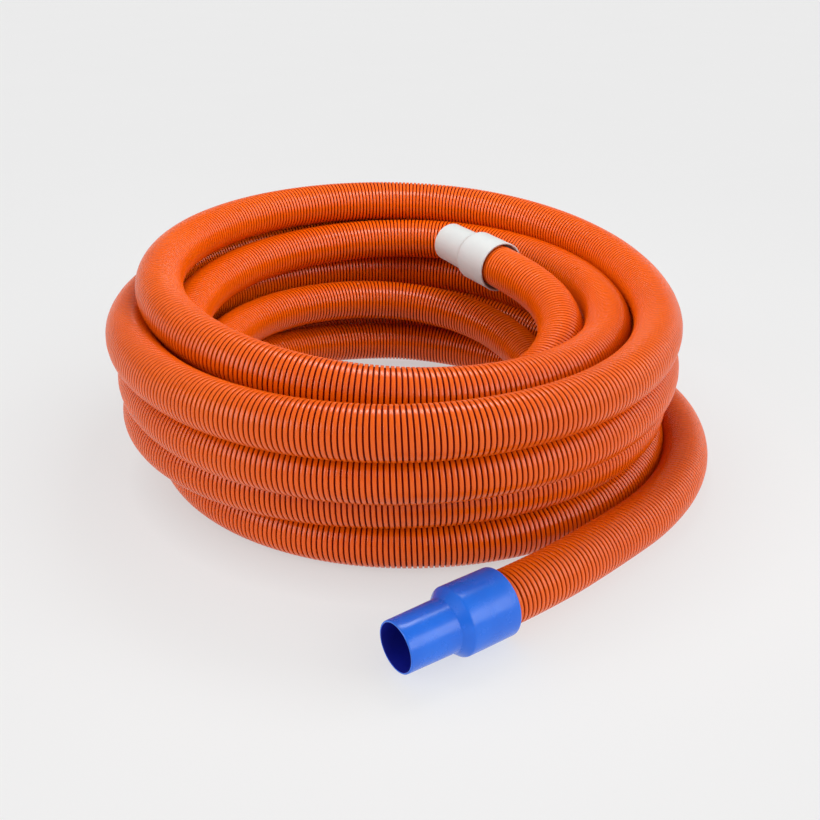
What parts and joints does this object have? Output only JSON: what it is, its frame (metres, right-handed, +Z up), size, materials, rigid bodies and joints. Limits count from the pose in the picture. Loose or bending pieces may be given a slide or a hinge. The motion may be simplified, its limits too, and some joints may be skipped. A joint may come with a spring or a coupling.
{
  "type": "pool vacuum hose",
  "caption": "Ribbed suction hose in a loose coil, with a stepped swivel cuff on one end and a stepped fixed cuff on the other.",
  "frame": {"origin": "on the floor, under the middle of the whole outline (bottom centre of the bounding box)", "axes": "+Z up; -Y towards the swivel cuff's side, the front; +X to the right seen from the front; the coil's axis is vertical"},
  "size_m": [0.6001, 0.7105, 0.2159],
  "materials": {
    "hose": "satin extruded ribs on a dark web",
    "blue_cuff": "satin moulded",
    "bushing": "moulded",
    "seal": "matte",
    "retainer": "moulded",
    "white_cuff": "satin moulded"
  },
  "bodies": {
    "hose": {"hose_coil": "hose", "hose_tail": "hose", "hose_lead": "hose", "swivel_bushing": "bushing", "fixed_cuff": "white_cuff"},
    "cuff": {"swivel_cuff": "blue_cuff", "swivel_seal": "seal", "swivel_retainer": "retainer"}
  },
  "joints": [
    {"name": "cuff_swivel", "type": "hinge", "parent": "hose", "child": "cuff", "pos_m": [0.052, -0.2906, 0.028], "axis": [0.8148, 0.5798, 0], "continuous": true}
  ]
}
